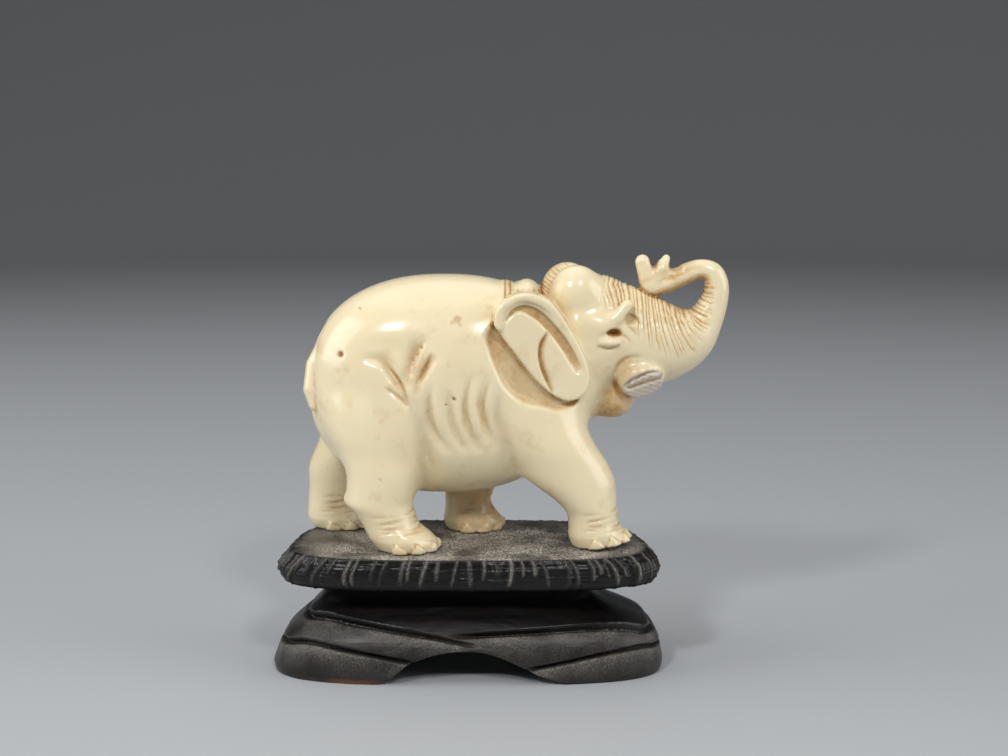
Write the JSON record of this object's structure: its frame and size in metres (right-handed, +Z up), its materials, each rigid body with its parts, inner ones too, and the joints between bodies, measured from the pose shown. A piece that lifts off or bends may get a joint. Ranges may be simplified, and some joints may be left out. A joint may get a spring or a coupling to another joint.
{
  "type": "carved elephant figurine",
  "caption": "Ivory-coloured carved elephant, trunk raised and curled, a tusk broken off, walking on a dark carved wooden stand with a notched rim and an arched foot.",
  "frame": {"origin": "on the floor under the middle of the whole piece", "axes": "+Z up, +X towards the elephant's head along the stand, -Y towards the side that the picture shows"},
  "size_m": [0.1084, 0.043, 0.0977],
  "materials": {
    "ivory_resin": "polished cream with brown rubbed into the carving",
    "dark_wood": "black-brown stain, dusty"
  },
  "bodies": {
    "root": {"elephant": "ivory_resin", "stand": "dark_wood"}
  },
  "joints": []
}
